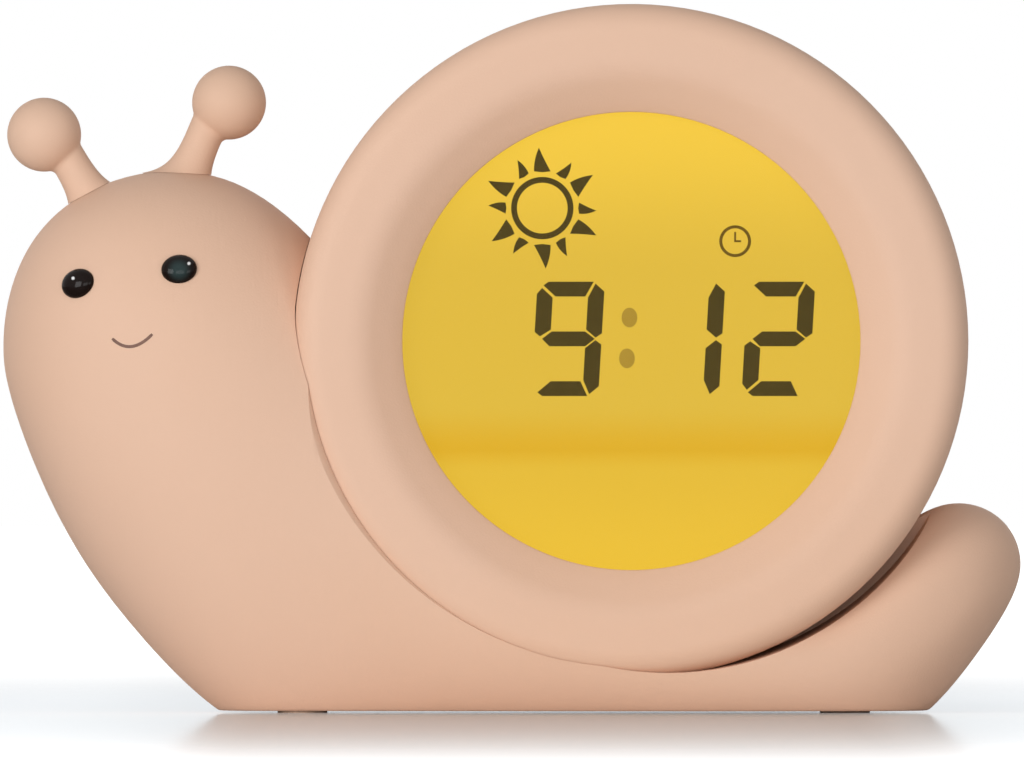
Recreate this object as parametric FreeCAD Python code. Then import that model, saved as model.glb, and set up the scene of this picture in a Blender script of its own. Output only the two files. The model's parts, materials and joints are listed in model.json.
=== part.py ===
"""Snail-shaped wake-up clock with a night light, as an assembly. Millimetres, +Z up.
+X is the viewer's right, the display faces -Y, and the origin is under the middle of the base.
The snail body is two hollow halves that meet in a vertical plane and clamp a round clock drum
between them. The drum holds the display stack in front and the electronics and cells behind."""

import FreeCAD
import Part
import math
import os

V = FreeCAD.Vector
os.makedirs("parts", exist_ok=True)

# Overall form of the body, as seen from the front
nose_x = -82.5
tail_x = 82.5
nose_z = 59.5
tail_z = 24.2
head_top_x = -56.0
head_top_z = 87.7
foot_dip = 4.0
half_depth = 26.0
base_round = 1.5
saddle_share = 0.975
depth_profile = ((-76.0, 0.615), (-64.0, 0.89), (-48.0, 1.0), (-30.0, saddle_share), (0.0, 0.965),
                 (30.0, 0.935), (52.0, 0.83), (68.0, 0.68), (77.5, 0.46))
rail_steps = 40
section_points = 18
section_power = 2.25
section_count = 22

# Walls and clearances
wall = 2.4
lip_height = 1.5
lip_gap = 0.1
seat_gap = 0.05
drum_gap = 0.15
moving_gap = 0.3
thread_gap = 0.05

# Rubber feet
foot_radius = 4.0
foot_height = 1.5
foot_proud = 0.3
foot_xs = (-34.0, 54.0)
foot_y = 7.5

# Clock drum
drum_x = 19.3
drum_rise = 5.7
drum_radius = 54.5
drum_depth = 25.0
drum_round = 4.6
rim_out = 1.3
rim_round = 3.6
rim_drop = 0.6
moat_width = 1.9
moat_angle = 328.0
moat_spread = 43.0
moat_floor = 5.0
moat_flare = 0.6
window_radius = 37.05
window_edge_round = 0.4
funnel_width = 6.6
funnel_round = 8.0
funnel_depth = 4.4
funnel_lip = 1.2
collar_wall = 1.5
drum_z = drum_radius + drum_rise
ring_inner = window_radius + funnel_width

# Display stack, from the front backwards
disc_overlap = 3.1
lens_thickness = 1.5
gasket_width = 2.2
gasket_thickness = 0.5
lcd_thickness = 1.2
lcd_foot_drop = 17.6
diffuser_thickness = 1.5
light_box_wall = 1.2
light_box_depth = 8.0
board_thickness = 1.6
led_board_gap = 3.3
led_size = 3.0
led_height = 0.8
led_rings = ((11.0, 5), (26.0, 10))
chip_places = ((-20.0, 0.0, 9.0, 9.0), (-3.0, 1.0, 6.0, 5.0), (20.0, -2.0, 5.0, 3.0))
chip_height = 1.3

# Screws and the posts that take them
screw_radius = 1.2
screw_head_radius = 2.6
screw_head_height = 1.8
post_radius = 3.4
well_gap = 0.3
shank_gap = 0.4
drum_post_gap = 2.3
drum_post_angles = (45.0, 135.0, 225.0, 315.0)
board_post_gap = 4.5
board_post_angles = (0.0, 90.0, 180.0, 270.0)
small_post_radius = 2.4
small_screw_radius = 0.9
small_head_radius = 1.9
small_head_height = 1.2
small_screw_length = 5.0

# Ears that hold the drum between the body halves
ear_reach = 5.7
ear_angles = (190.0, 236.0, 313.0)
ear_thickness = 3.0
ear_gap = 0.1
saddle_wall = 2.4
ear_side_gap = 0.25
body_posts = ((-61.5, 64.0), (-53.0, 24.0))
body_screw_seat = 9.0
drum_screw_seat = 11.0
screw_bite = 8.0

# Antennae
ball_radius = 6.0
stem_radius = 2.95
stem_flare = ((-2.4, 4.0), (-1.0, 2.2), (0.3, 1.2), (1.8, 0.55), (4.0, 0.12), (6.0, 0.0))
ball_fillet = 1.2
plug_radius = 2.4
plug_length = 4.0
flange_radius = 4.2
flange_thickness = 1.4
antenna_left_base = (-68.2, 83.4)
antenna_left_top = (-74.4, 93.7)
antenna_left_ball = (-75.9, 93.7)
antenna_right_base = (-52.7, 87.0)
antenna_right_top = (-47.6, 98.9)
antenna_right_ball = (-45.9, 98.9)

# Eyes
eye_half_width = 2.9
eye_half_height = 2.45
eye_bulge = 1.6
eye_tilt = 8.0
eye_stem_radius = 1.1
eye_stem_length = 4.5
eye_left_place = (-70.2, 69.5)
eye_right_place = (-53.8, 71.8)

# Rear cover: battery bay and door
cell_radius = 5.25
cell_length = 43.3
cell_nub_radius = 1.9
cell_nub_length = 1.2
cell_count = 3
cell_gap = 0.4
contact_room = 3.4
contact_thickness = 0.4
bay_wall = 1.5
door_thickness = 1.8
door_margin = 1.3
door_gap = 0.25
door_corner = 3.0
door_drop = 13.6
door_ear_radius = 4.3
door_ear_reach = 1.2
door_screw_length = 6.0
door_rib_count = 5
door_rib_width = 1.2
door_rib_depth = 0.4
door_rib_pitch = 3.0

# Rear cover: buttons, switch, inlet and loudspeaker
button_radius = 3.4
button_flange_radius = 4.5
button_flange_thickness = 1.0
button_proud = 0.7
button_travel = 0.6
button_gap = 0.2
button_stem_length = 1.0
button_pitch = 12.0
button_rise = 15.4
button_stem_radius = 1.3
button_names = ("button_alarm", "button_down", "button_set", "button_up", "button_light")
tact_size = 6.0
tact_height = 3.2
tact_plunger_radius = 1.7
tact_plunger_height = 0.8
main_board_height = 15.0
main_board_post_gap = 1.1
main_board_inset = 3.0
port_drop = 41.0
inlet_shift = -9.3
inlet_width = 9.0
inlet_height = 3.2
inlet_depth = 7.0
inlet_wall = 0.35
inlet_tongue = 0.7
inlet_set_back = 0.6
inlet_hole_gap = 0.35
switch_shift = 5.8
switch_travel = 4.0
knob_width = 3.2
knob_height = 2.6
knob_proud = 0.8
knob_plate_thickness = 0.8
knob_plate_margin = 1.0
knob_gap = 0.2
switch_body_width = 11.0
switch_body_height = 4.0
switch_body_depth = 3.3
port_board_width = 45.0
port_board_height = 9.0
port_board_inset = 2.5
speaker_rise = 34.0
speaker_radius = 12.0
speaker_frame_thickness = 1.0
speaker_depth = 5.4
speaker_ring_wall = 1.4
speaker_ring_height = 3.6
speaker_gap = 0.15
magnet_radius = 5.6
magnet_height = 2.6
grille_hole_radius = 0.9
grille_pitch = 3.6
grille_rings = 2
ribbon_width = 12.0
ribbon_thickness = 0.6
ribbon_rise = 2.0
ribbon_shift = 11.0

# Places and sizes that follow from the drum's
rear_inside = drum_depth - wall
disc_radius = window_radius + disc_overlap
led_board_radius = drum_radius - wall - led_board_gap
drum_post_circle = drum_radius - wall - drum_post_gap - post_radius
board_post_circle = drum_radius - wall - board_post_gap - small_post_radius
ear_circle = drum_radius + ear_reach
lcd_low_z = drum_z - lcd_foot_drop
door_z = drum_z - door_drop
port_z = drum_z - port_drop
inlet_x = drum_x + inlet_shift
switch_x = drum_x + switch_shift
button_z = drum_z + button_rise
speaker_z = drum_z + speaker_rise
button_row = (len(button_names) - 1) * button_pitch
main_board_post_reach = (button_row / 2 + button_flange_radius + main_board_post_gap
                         + small_post_radius)
main_board_width = 2 * (main_board_post_reach + main_board_inset)

# Where each piece of the display stack starts, counted back from the drum's front face
lens_y = -drum_depth + funnel_depth + funnel_lip
gasket_y = lens_y + lens_thickness
lcd_y = gasket_y + gasket_thickness
diffuser_y = lcd_y + lcd_thickness
light_box_y = diffuser_y + diffuser_thickness
led_board_y = light_box_y + light_box_depth
seat_radius = disc_radius + drum_gap

# The stack behind a push button, counted forward from the rear cover's inner face
button_flange_y = rear_inside - seat_gap - button_flange_thickness
plunger_y = button_flange_y - button_stem_length - button_travel - seat_gap
main_board_y = plunger_y - tact_plunger_height - tact_height - board_thickness
port_board_y = drum_depth - inlet_set_back - inlet_depth - board_thickness

# The battery bay and its door
cell_pitch = 2 * cell_radius + cell_gap
bay_length = cell_length + cell_nub_length + 2 * contact_room
bay_height = cell_count * cell_pitch
door_inner_y = drum_depth - door_thickness
bay_floor_y = door_inner_y - 2 * cell_radius - 2 * cell_gap
door_width = bay_length + 2 * door_margin
door_height = bay_height + 2 * door_margin


def save(shape, node):
    """One node of the assembly, as its own file."""
    shape.exportStep("parts/" + node + ".step")


def box(x0, x1, y0, y1, z0, z1):
    return Part.makeBox(x1 - x0, y1 - y0, z1 - z0, V(x0, y0, z0))


def rod(x, z, radius, y0, y1):
    """A cylinder along Y from y0 to y1."""
    return Part.makeCylinder(radius, y1 - y0, V(x, y0, z), V(0, 1, 0))


def rounded_plate(x, z, width, height, corner, y0, y1):
    """A plate square to Y with rounded corners."""
    plate = box(x - width / 2, x + width / 2, y0, y1, z - height / 2, z + height / 2)
    upright = [e for e in plate.Edges if abs(e.tangentAt(e.FirstParameter).y) > 0.9]
    return plate.makeFillet(corner, upright)


def on_circle(radius, angle):
    """A place in the drum's face at this radius and angle from its axis."""
    turn = math.radians(angle)
    return drum_x + radius * math.cos(turn), drum_z + radius * math.sin(turn)


def spun(points):
    """Turns a closed outline of (radius, y) corners about the drum's axis."""
    corners = [V(drum_x + r, y, drum_z) for r, y in points]
    face = Part.Face(Part.makePolygon(corners + corners[:1]))
    return face.revolve(V(drum_x, 0, drum_z), V(0, 1, 0), 360)


def ring(inner_radius, outer_radius, y0, y1):
    """A plain ring about the drum's axis."""
    return disc(outer_radius, y0, y1).cut(disc(inner_radius, y0 - 1, y1 + 1))


def circles(shape, radius):
    """The shape's circular edges of one radius."""
    round_edges = [e for e in shape.Edges if not e.Degenerated and "Circle" in e.Curve.TypeId]
    return [e for e in round_edges if abs(e.Curve.Radius - radius) < 0.01]


def softened(shape, radius, y, amount):
    """Rounds the circular edge of the drum with this radius and place along Y."""
    picked = [e for e in circles(shape, radius) if abs(e.Curve.Center.y - y) < 0.01]
    return shape.makeFillet(amount, picked)


def disc(radius, y0, y1):
    return rod(drum_x, drum_z, radius, y0, y1)


def screws(places, radius, head_radius, head_height, seat_y, tip_y):
    """A group of separate pan-head screws along Y, with their heads to the rear of their seat."""
    group = []
    for x, z in places:
        head = rod(x, z, head_radius, seat_y, seat_y + head_height)
        shank = rod(x, z, radius, tip_y, seat_y)
        group.append(head.fuse(shank))
    return Part.makeCompound(group)


# Body form: three outlines in the XZ plane give each cross section its size

def rail(points, start, end, inset=0):
    """A smooth curve through a few (x, z) points, with its directions at both ends. An inset
    moves it to its right-hand side, so an outline closes clockwise from the nose."""
    curve = Part.BSplineCurve()
    places = [V(x, 0, z) for x, z in points]
    first, last = V(start[0], 0, start[1]), V(end[0], 0, end[1])
    curve.interpolate(Points=places, InitialTangent=first, FinalTangent=last, Scale=False)
    if inset:
        moved = []
        for step in range(rail_steps + 1):
            at = curve.LastParameter * step / rail_steps
            along = curve.tangent(at)[0]
            moved.append(curve.value(at) + V(along.z, 0, -along.x) * inset)
        curve = Part.BSplineCurve()
        curve.interpolate(Points=moved, InitialTangent=first, FinalTangent=last, Scale=False)
    return curve.toShape()


def front_outline(inset):
    """The body as seen from the front. The top rail runs down behind the drum."""
    top = rail([(nose_x, nose_z), (-76.4, 78.2), (head_top_x, head_top_z), (-41.0, 83.8),
                (-32.5, 76.6), (-14.0, 54.0), (8.0, 32.0), (30.0, 18.5), (48.0, 18.0),
                (62.0, 29.0), (72.6, 33.9), (79.8, 30.8), (tail_x, tail_z)], (0, 1), (0, -1), inset)
    low = rail([(nose_x, nose_z), (-78.7, 43.5), (-70.6, 26.5), (-59.5, 11.7), (-50.2, 2.5),
                (-42.0, -2.6), (-25.0, -foot_dip), (20.0, -foot_dip), (52.0, -foot_dip),
                (63.6, -2.6), (70.7, 3.6), (79.5, 15.6), (tail_x, tail_z)], (0, -1), (0, 1), -inset)
    return Part.Face(Part.Wire([top, low.reversed()]))


def depth_outline(inset):
    """The body as seen from above: shares of its half depth along X, mirrored so that it closes."""
    half = [(nose_x, 0)] + [(x, share * half_depth) for x, share in depth_profile] + [(tail_x, 0)]
    back = rail(half, (0, 1), (0, -1), inset)
    front = rail([(x, -d) for x, d in half], (0, -1), (0, 1), -inset)
    return Part.Face(Part.Wire([back, front.reversed()]))


def ridge_rail():
    """The height at which each cross section is widest."""
    return rail([(nose_x, nose_z), (-66.0, 58.5), (-44.0, 47.0), (-20.0, 29.0), (10.0, 14.0),
                 (40.0, 8.0), (56.0, 9.5), (68.0, 16.5), (tail_x, tail_z)], (1, 0), (0.8, 0.6))


def span(face, x):
    """Where a vertical line at x enters and leaves an outline."""
    line = Part.makeLine(V(x, 0, -200), V(x, 0, 200))
    bounds = line.common(face).BoundBox
    return bounds.ZMin, bounds.ZMax


def cross_section(x, low, high, ridge, depth):
    """A closed egg-shaped curve in the plane at x, fuller than an ellipse."""
    points = []
    for step in range(section_points):
        turn = 2 * math.pi * step / section_points
        across = math.cos(turn)
        up = math.sin(turn)
        swell = (abs(across) ** section_power + abs(up) ** section_power) ** (-1 / section_power)
        height = (high - ridge) if up > 0 else (ridge - low)
        points.append(V(x, depth * swell * across, ridge + height * swell * up))
    curve = Part.BSplineCurve()
    curve.interpolate(Points=points, PeriodicFlag=True, Parameters=list(range(section_points + 1)))
    return Part.Wire([curve.toShape()])


def body_form(inset):
    """The whole body as one closed solid, moved inwards by inset. Sections crowd at the ends."""
    front = front_outline(inset)
    depth = depth_outline(inset)
    ridge = ridge_rail()
    x0, x1 = front.BoundBox.XMin, front.BoundBox.XMax
    y0, y1 = depth.BoundBox.XMin, depth.BoundBox.XMax
    low_x, high_x = max(x0, y0), min(x1, y1)
    middle, reach = (low_x + high_x) / 2, (high_x - low_x) / 2
    sections = [Part.Vertex(V(low_x, 0, span(front, low_x + 0.001)[0]))]
    for step in range(1, section_count):
        x = middle - reach * math.cos(math.pi * step / section_count)
        low, high = span(front, x)
        widest = min(max(span_height(ridge, x), low + 0.35 * (high - low)), high - 0.3 * (high - low))
        sections.append(cross_section(x, low, high, widest, span(depth, x)[1]))
    sections.append(Part.Vertex(V(high_x, 0, span(front, high_x - 0.001)[0])))
    return Part.makeLoft(sections, True, False)


def span_height(edge, x):
    """The height of a rail at x."""
    line = Part.makeLine(V(x, 0, -200), V(x, 0, 200))
    return line.distToShape(edge)[1][0][0].z


def drum_section(gap, reach):
    """The face that spins into the space of the drum. The body laps a little over the drum's
    rounded edge and ends there in a rounded rim, which is the outer arc."""
    edge_r, edge_y = drum_radius - drum_round, drum_depth - drum_round
    grown = drum_round + gap
    rim_r = drum_radius + rim_out
    rim_y = saddle_share * half_depth + rim_drop - rim_round
    # Where the rim's arc meets the arc that clears the drum's rounded edge
    across, along = rim_r - edge_r, rim_y - edge_y
    apart = math.hypot(across, along)
    share = (grown ** 2 - rim_round ** 2 + apart ** 2) / (2 * apart)
    side_step = math.sqrt(grown ** 2 - share ** 2)
    tip_r = edge_r + (share * across - side_step * along) / apart
    tip_y = edge_y + (share * along + side_step * across) / apart
    turn = math.atan2(tip_y - edge_y, tip_r - edge_r) / 2
    mid_r, mid_y = edge_r + grown * math.cos(turn), edge_y + grown * math.sin(turn)
    rim_end = math.atan2(tip_y - rim_y, tip_r - rim_r) % (2 * math.pi)
    rim_turn = (rim_end + math.pi / 2) / 2
    rim_mid_r = rim_r + rim_round * math.cos(rim_turn)
    rim_mid_y = rim_y + rim_round * math.sin(rim_turn)
    side = drum_radius + gap

    def at(r, y):
        return V(drum_x + r, y, drum_z)

    edges = []
    for way in (-1, 1):
        edges += [Part.makeLine(at(0, way * reach), at(rim_r, way * reach)),
                  Part.makeLine(at(rim_r, way * reach), at(rim_r, way * (rim_y + rim_round))),
                  Part.Arc(at(rim_r, way * (rim_y + rim_round)), at(rim_mid_r, way * rim_mid_y),
                           at(tip_r, way * tip_y)).toShape(),
                  Part.Arc(at(tip_r, way * tip_y), at(mid_r, way * mid_y),
                           at(side, way * edge_y)).toShape()]
    edges += [Part.makeLine(at(side, -edge_y), at(side, edge_y)),
              Part.makeLine(at(0, -reach), at(0, reach))]
    return Part.Face(Part.Wire(Part.__sortEdges__(edges)))


def moat(grow, floor, reach):
    """A crescent groove between drum and tail, at the front and the rear: two cones set off
    towards the tail, so the groove is widest there and runs out to nothing below the drum."""
    shift = moat_width / (1 - math.cos(math.radians(moat_spread)))
    turn = math.radians(moat_angle)
    x, z = drum_x + shift * math.cos(turn), drum_z + shift * math.sin(turn)
    radius = drum_radius + drum_gap + moat_width - shift + grow
    cones = []
    for way in (-1, 1):
        cones.append(Part.makeCone(radius - moat_flare, radius + moat_flare, reach - floor,
                                   V(x, way * floor, z), V(0, way, 0)))
    return cones


# Places that several pieces share

ear_places = [on_circle(ear_circle, angle) for angle in ear_angles]
drum_posts = [on_circle(drum_post_circle, angle) for angle in drum_post_angles]
board_posts = [on_circle(board_post_circle, angle) for angle in board_post_angles]
button_xs = [drum_x + (i - (len(button_names) - 1) / 2) * button_pitch
             for i in range(len(button_names))]
main_board_posts = [(drum_x + side * main_board_post_reach, button_z) for side in (-1, 1)]
port_board_posts = [(drum_x + side * (port_board_width / 2 - port_board_inset), port_z)
                    for side in (-1, 1)]
door_posts = [(drum_x, door_z + side * (door_height / 2 + door_ear_reach)) for side in (-1, 1)]
cell_zs = [door_z + (i - (cell_count - 1) / 2) * cell_pitch for i in range(cell_count)]
foot_places = [(x, side * foot_y) for x in foot_xs for side in (-1, 1)]


def ears(y0, y1, gap):
    """The tabs on the drum's rim that the body halves clamp."""
    tabs = []
    for angle, (x, z) in zip(ear_angles, ear_places):
        half = post_radius + gap
        tab = box(drum_radius - 1 + drum_x, ear_circle + drum_x, y0, y1, drum_z - half, drum_z + half)
        tab = tab.rotate(V(drum_x, 0, drum_z), V(0, 1, 0), -angle)
        tabs.append(tab.fuse(rod(x, z, half, y0, y1)))
    return tabs


# Snail body

def surface_y(form, x, z):
    """How far to the front the body reaches at a place seen from the front."""
    return Part.makeLine(V(x, -60, z), V(x, 0, z)).common(form).BoundBox.YMin


def outward(form, x, z):
    """The direction square to the body's front surface at a place."""
    step = 0.2
    lean_x = (surface_y(form, x + step, z) - surface_y(form, x - step, z)) / (2 * step)
    lean_z = (surface_y(form, x, z + step) - surface_y(form, x, z - step)) / (2 * step)
    return V(lean_x, -1, lean_z).normalize()


def antenna_frame(base, top):
    """A stem's start and the way to its top."""
    start = V(base[0], 0, base[1])
    return start, (V(top[0], 0, top[1]) - start)


def antenna(form, base, top, ball):
    """A soft horn: a ball on a stem that flares at the head, and a plug whose flange the halves
    trap. The ball sits a little to one side of the stem's axis."""
    start, reach = antenna_frame(base, top)
    length = reach.Length
    ball_middle = V(ball[0], 0, ball[1])
    plug = Part.makeCylinder(plug_radius, plug_length + 1, V(0, 0, -plug_length))
    flange = Part.makeCylinder(flange_radius, flange_thickness,
                               V(0, 0, -plug_length - flange_thickness))
    flare = Part.BSplineCurve()
    flare.interpolate(Points=[V(stem_radius + extra, 0, up) for up, extra in stem_flare])
    foot, neck = V(flare.value(0)), V(stem_radius, 0, stem_flare[-1][0])
    edges = [flare.toShape(), Part.makeLine(neck, V(stem_radius, 0, length)),
             Part.makeLine(V(stem_radius, 0, length), V(0, 0, length)),
             Part.makeLine(V(0, 0, length), V(0, 0, foot.z)), Part.makeLine(V(0, 0, foot.z), foot)]
    stem = Part.Face(Part.Wire(edges)).revolve(V(0, 0, 0), V(0, 0, 1), 360)
    place = FreeCAD.Placement(start, FreeCAD.Rotation(V(0, 0, 1), reach))
    for shape in (stem, plug, flange):
        shape.Placement = place
    horn = stem.fuse(Part.makeSphere(ball_radius, ball_middle))

    def on_crease(edge):
        spots = [edge.valueAt(edge.FirstParameter + part * (edge.LastParameter - edge.FirstParameter))
                 for part in (0.1, 0.5, 0.9)]
        return all(abs(spot.distanceToPoint(ball_middle) - ball_radius) < 0.01
                   and abs(spot.distanceToLine(start, reach) - stem_radius) < 0.01
                   for spot in spots)

    horn = horn.makeFillet(ball_fillet, [e for e in horn.Edges if not e.Degenerated and on_crease(e)])
    skin = form.copy()
    skin.translate(reach.normalize() * seat_gap)
    return horn.cut(skin).fuse([plug, flange]).removeSplitter()


def antenna_hole(base, top):
    start, reach = antenna_frame(base, top)
    reach.normalize()
    return Part.makeCylinder(plug_radius + seat_gap, 8, start - reach * 6, reach)


def eye(form, place):
    """A glossy bead that sits on the head, with a stem pressed through the wall."""
    x, z = place
    at = V(x, surface_y(form, x, z), z)
    normal = outward(form, x, z)
    matrix = FreeCAD.Matrix()
    matrix.scale(eye_half_width, eye_bulge, eye_half_height)
    bead = Part.makeSphere(1).transformGeometry(matrix)
    bead.rotate(V(0, 0, 0), V(0, 1, 0), -eye_tilt)
    bead.Placement = FreeCAD.Placement(at, FreeCAD.Rotation(V(0, -1, 0), normal)).multiply(
        bead.Placement)
    skin = form.copy()
    skin.translate(normal * seat_gap)
    stem = Part.makeCylinder(eye_stem_radius, eye_stem_length, at + normal * 0.3, normal * -1)
    return bead.cut(skin).fuse(stem).removeSplitter()


def eye_hole(form, place):
    x, z = place
    normal = outward(form, x, z)
    at = V(x, surface_y(form, x, z), z)
    return Part.makeCylinder(eye_stem_radius + seat_gap, eye_stem_length + 2, at + normal, normal * -1)


def body_halves(form, hollow):
    """Both moulded halves: skin, floor, saddle round the drum, and the posts for the screws."""
    reach = 40.0
    axis_point, axis = V(drum_x, 0, drum_z), V(0, 1, 0)
    drum_space = drum_section(drum_gap, reach).revolve(axis_point, axis, 360)
    saddle = disc(drum_radius + drum_gap + saddle_wall, -reach, reach)
    saddle = saddle.fuse(moat(saddle_wall, moat_floor - saddle_wall, reach))
    above = box(nose_x - 1, tail_x + 1, -reach, reach, foot_proud, 2 * drum_z)
    form = form.common(above)
    base_edges = [e for e in form.Edges if e.BoundBox.ZMax < foot_proud + 0.01]
    form = form.makeFillet(base_round, base_edges)
    floor = form.common(box(nose_x - 1, tail_x + 1, -reach, reach, foot_proud, foot_proud + wall))
    shell = form.cut(hollow)
    shell = shell.fuse([floor, form.common(saddle)])
    foot_holes = [Part.makeCylinder(foot_radius + lip_gap, foot_height + seat_gap, V(x, y, 0))
                  for x, y in foot_places]
    foot_pads = [form.common(Part.makeCylinder(foot_radius + wall, foot_height + wall, V(x, y, 0)))
                 for x, y in foot_places]
    ear_slots = ears(-ear_thickness - ear_gap, ear_thickness + ear_gap, ear_side_gap)
    horn_holes = [antenna_hole(antenna_left_base, antenna_left_top),
                  antenna_hole(antenna_right_base, antenna_right_top)]
    halves = []
    for side in (-1, 1):
        keep = box(nose_x - 1, tail_x + 1, min(0, side * reach), max(0, side * reach),
                   -1, 2 * drum_z)
        half = shell.common(keep)
        posts = []
        for x, z in ear_places + list(body_posts):
            near = ear_thickness + ear_gap if (x, z) in ear_places else 0
            y0, y1 = sorted((side * near, side * reach))
            posts.append(rod(x, z, post_radius, y0, y1).common(form))
        half = half.fuse(posts + [pad.common(keep) for pad in foot_pads])
        holes = []
        for x, z in ear_places + list(body_posts):
            if side < 0:
                holes.append(rod(x, z, screw_radius + thread_gap, -screw_bite - 1, 1))
            else:
                holes.append(rod(x, z, screw_radius + shank_gap, -1, body_screw_seat + 1))
                holes.append(rod(x, z, screw_head_radius + well_gap, body_screw_seat, reach))
        if side < 0:
            holes += [eye_hole(form, eye_left_place), eye_hole(form, eye_right_place)]
        half = half.cut([drum_space] + ear_slots + holes + foot_holes + horn_holes
                        + moat(0, moat_floor, half_depth + 1))
        halves.append(half.removeSplitter())
    return halves


def foot_group():
    return Part.makeCompound([Part.makeCylinder(foot_radius, foot_height, V(x, y, 0))
                              for x, y in foot_places])


# Clock drum shells

def shell_front():
    """The bezel: a soft ring that funnels in to the window, with a collar for the display."""
    inside = -drum_depth + wall
    collar = seat_radius + collar_wall
    shell = spun([(drum_radius, 0), (drum_radius, -drum_depth), (ring_inner, -drum_depth),
                  (window_radius, lens_y - funnel_lip), (window_radius, lens_y),
                  (seat_radius, lens_y), (seat_radius, diffuser_y + diffuser_thickness / 2),
                  (collar, diffuser_y + diffuser_thickness / 2), (collar, inside + wall / 2),
                  (ring_inner, inside), (drum_radius - wall, inside), (drum_radius - wall, 0)])
    shell = softened(shell, drum_radius, -drum_depth, drum_round)
    shell = softened(shell, ring_inner, -drum_depth, funnel_round)
    shell = softened(shell, window_radius, lens_y - funnel_lip, window_edge_round)
    tongue = ring(drum_radius - wall, drum_radius - wall / 2 - lip_gap, -1, lip_height)
    posts = [rod(x, z, post_radius, inside - 0.5, 0) for x, z in drum_posts]
    posts += [rod(x, z, small_post_radius, inside - 0.5, led_board_y - seat_gap)
              for x, z in board_posts]
    shell = shell.fuse([tongue] + posts + ears(-ear_thickness, 0, 0))
    holes = [rod(x, z, screw_radius + thread_gap, -screw_bite - 1, 1) for x, z in drum_posts]
    holes += [rod(x, z, screw_radius + shank_gap, -ear_thickness - 1, 1) for x, z in ear_places]
    holes += [rod(x, z, small_screw_radius + thread_gap, led_board_y - small_screw_length, 0)
              for x, z in board_posts]
    return shell.cut(holes).removeSplitter()


def door_outline(gap, y0, y1):
    """The battery door's outline: a rounded plate with a screw ear above and below."""
    plate = rounded_plate(drum_x, door_z, door_width + 2 * gap, door_height + 2 * gap,
                          door_corner + gap, y0, y1)
    tabs = [rod(x, z, door_ear_radius + gap, y0, y1) for x, z in door_posts]
    return plate.fuse(tabs).removeSplitter()


def grille_holes():
    """Sound holes in rings about the loudspeaker's middle."""
    places = [(drum_x, speaker_z)]
    for lap in range(1, grille_rings + 1):
        for step in range(6 * lap):
            turn = 2 * math.pi * step / (6 * lap)
            places.append((drum_x + lap * grille_pitch * math.cos(turn),
                           speaker_z + lap * grille_pitch * math.sin(turn)))
    return [rod(x, z, grille_hole_radius, rear_inside - 1, drum_depth + 1) for x, z in places]


def shell_rear():
    """The rear cover with its battery bay, wells, sound holes and seats."""
    shell = spun([(0, drum_depth), (drum_radius, drum_depth), (drum_radius, 0),
                  (drum_radius - wall, 0), (drum_radius - wall, rear_inside), (0, rear_inside)])
    shell = softened(shell, drum_radius, drum_depth, drum_round)
    shell = softened(shell, drum_radius - wall, rear_inside, drum_round - wall)
    rebate = ring(drum_radius - wall - 1, drum_radius - wall / 2, -1, lip_height + lip_gap)
    posts = [rod(x, z, post_radius, 0, rear_inside + 0.5) for x, z in drum_posts]
    posts += [rod(x, z, small_post_radius, door_inner_y - door_screw_length - 0.5,
                  rear_inside + 0.5) for x, z in door_posts]
    posts += [rod(x, z, small_post_radius, main_board_y + board_thickness + seat_gap,
                  rear_inside + 0.5) for x, z in main_board_posts]
    posts += [rod(x, z, small_post_radius, port_board_y + board_thickness + seat_gap,
                  rear_inside + 0.5) for x, z in port_board_posts]
    bay = box(drum_x - bay_length / 2 - bay_wall, drum_x + bay_length / 2 + bay_wall,
              bay_floor_y - bay_wall, rear_inside + 0.5,
              door_z - bay_height / 2 - bay_wall, door_z + bay_height / 2 + bay_wall)
    cup = rod(drum_x, speaker_z, speaker_radius + speaker_gap + speaker_ring_wall,
              rear_inside - speaker_ring_height, rear_inside + 0.5)
    cup = cup.cut(rod(drum_x, speaker_z, speaker_radius + speaker_gap, 0, rear_inside))
    shell = shell.cut(rebate).fuse(posts + [bay, cup] + ears(0, ear_thickness, 0))
    holes = [box(drum_x - bay_length / 2, drum_x + bay_length / 2, bay_floor_y, drum_depth + 1,
                 door_z - bay_height / 2, door_z + bay_height / 2),
             door_outline(door_gap, door_inner_y - seat_gap, drum_depth + 1)]
    for x, z in drum_posts:
        holes.append(rod(x, z, screw_radius + shank_gap, -1, drum_screw_seat + 1))
        holes.append(rod(x, z, screw_head_radius + well_gap, drum_screw_seat, drum_depth + 1))
    holes += [rod(x, z, screw_radius + shank_gap, -1, ear_thickness + 1) for x, z in ear_places]
    holes += [rod(x, z, small_screw_radius + thread_gap, door_inner_y - door_screw_length,
                  drum_depth) for x, z in door_posts]
    holes += [rod(x, z, small_screw_radius + thread_gap, 0, rear_inside - 1)
              for x, z in main_board_posts + port_board_posts]
    holes += [rod(x, button_z, button_radius + button_gap, rear_inside - 1, drum_depth + 1)
              for x in button_xs]
    slot = knob_width + switch_travel + 2 * knob_gap
    holes.append(rounded_plate(switch_x, port_z, slot, knob_height + 2 * knob_gap, 0.6,
                               rear_inside - 1, drum_depth + 1))
    holes.append(rounded_plate(inlet_x, port_z, inlet_width + 2 * inlet_hole_gap,
                               inlet_height + 2 * inlet_hole_gap,
                               inlet_height / 2 + inlet_hole_gap - 0.01,
                               rear_inside - 1, drum_depth + 1))
    return shell.cut(holes + grille_holes()).removeSplitter()


# Display stack

def lcd_glass():
    """The liquid crystal cell. Its straight lower edge ends above the foot of the window."""
    whole = disc(disc_radius, lcd_y + seat_gap, diffuser_y)
    return whole.common(box(nose_x, tail_x, -drum_depth, 0, lcd_low_z, 2 * drum_z))


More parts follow.
